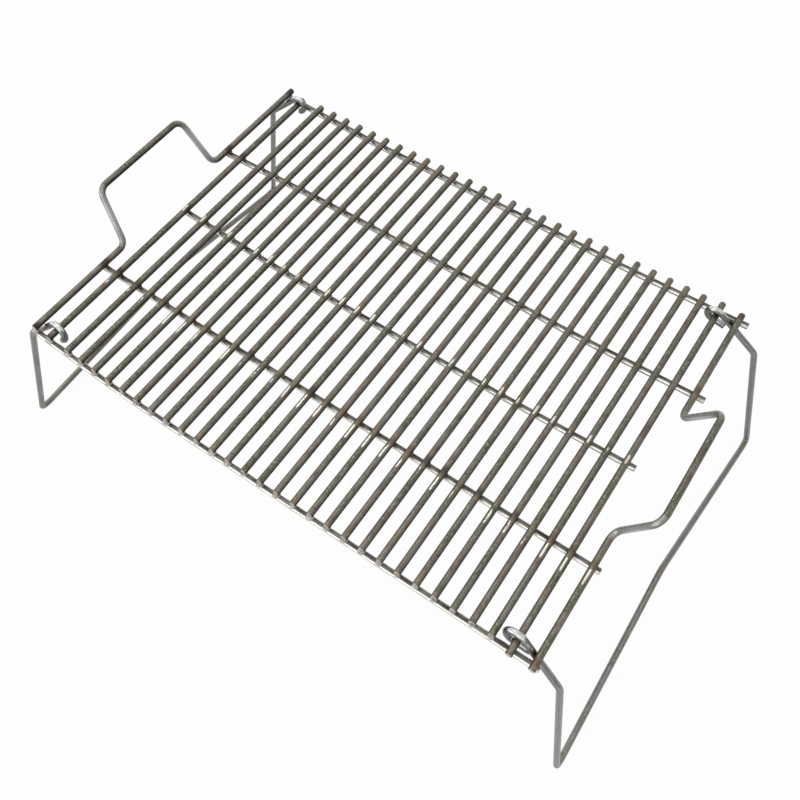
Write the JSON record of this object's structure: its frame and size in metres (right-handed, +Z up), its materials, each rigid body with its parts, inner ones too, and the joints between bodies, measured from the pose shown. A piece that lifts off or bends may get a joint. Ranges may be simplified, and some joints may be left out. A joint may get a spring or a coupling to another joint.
{
  "type": "portable wire grill",
  "caption": "Portable camp grill of bent steel wire: a grate of bars on cross rods, a raised carrying handle at each end and two hooked legs that fold under it.",
  "frame": {"origin": "on the ground under the middle of the grill, at the bottom centre of its box as it stands", "axes": "+X along the cross rods towards the right leg, +Y along the bars towards the back rail, +Z up"},
  "size_m": [0.5426, 0.3356, 0.1944],
  "materials": {
    "scorched_steel": "heat-tinted, satin",
    "bright_steel": "drawn wire, satin to bright"
  },
  "bodies": {
    "grate": {"left_handle_bar": "scorched_steel", "bar_02": "scorched_steel", "bar_03": "scorched_steel", "bar_04": "scorched_steel", "bar_05": "scorched_steel", "bar_06": "scorched_steel", "bar_07": "scorched_steel", "bar_08": "scorched_steel", "bar_09": "scorched_steel", "bar_10": "scorched_steel", "bar_11": "scorched_steel", "bar_12": "scorched_steel", "bar_13": "scorched_steel", "bar_14": "scorched_steel", "bar_15": "scorched_steel", "bar_16": "scorched_steel", "bar_17": "scorched_steel", "bar_18": "scorched_steel", "bar_19": "scorched_steel", "bar_20": "scorched_steel", "bar_21": "scorched_steel", "bar_22": "scorched_steel", "bar_23": "scorched_steel", "bar_24": "scorched_steel", "bar_25": "scorched_steel", "bar_26": "scorched_steel", "bar_27": "scorched_steel", "bar_28": "scorched_steel", "bar_29": "scorched_steel", "bar_30": "scorched_steel", "right_handle_bar": "scorched_steel", "front_rail": "bright_steel", "front_middle_rod": "bright_steel", "middle_rod": "bright_steel", "back_middle_rod": "bright_steel", "back_rail": "bright_steel"},
    "left_leg": {"left_leg": "bright_steel"},
    "right_leg": {"right_leg": "bright_steel"}
  },
  "joints": [
    {"name": "left_leg_fold", "type": "hinge", "parent": "grate", "child": "left_leg", "pos_m": [-0.20235, 0, 0.1525], "axis": [0, -1, 0], "range_deg": [0, 107]},
    {"name": "right_leg_fold", "type": "hinge", "parent": "grate", "child": "right_leg", "pos_m": [0.19585, 0, 0.1525], "axis": [0, 1, 0], "range_deg": [0, 107]}
  ]
}
